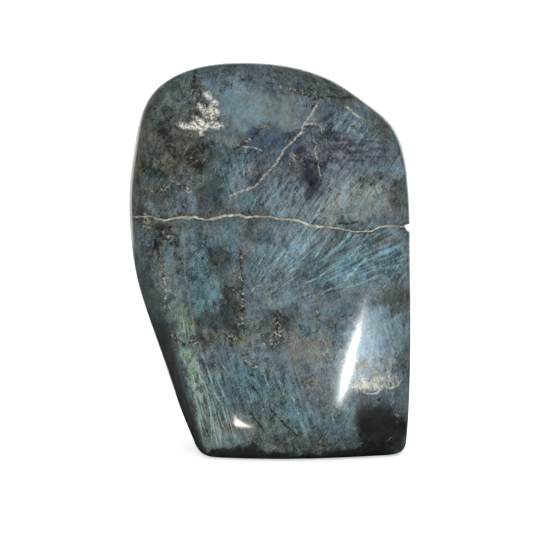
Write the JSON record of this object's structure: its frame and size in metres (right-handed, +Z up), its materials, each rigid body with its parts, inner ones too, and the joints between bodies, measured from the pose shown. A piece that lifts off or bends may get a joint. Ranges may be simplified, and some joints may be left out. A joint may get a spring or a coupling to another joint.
{
  "type": "polished labradorite freeform",
  "caption": "Polished slab-like freeform of labradorite, sawn flat underneath to stand upright, with a gently domed face and a notched crack.",
  "frame": {"origin": "centre of the stone's box, on the sawn base that it stands on", "axes": "+Z up through the stone's height, -Y out of the broad show face, +X to the right when looking at that face"},
  "size_m": [0.1005, 0.043, 0.1389],
  "materials": {
    "labradorite": "polished"
  },
  "bodies": {
    "root": {"labradorite": "labradorite"}
  },
  "joints": []
}
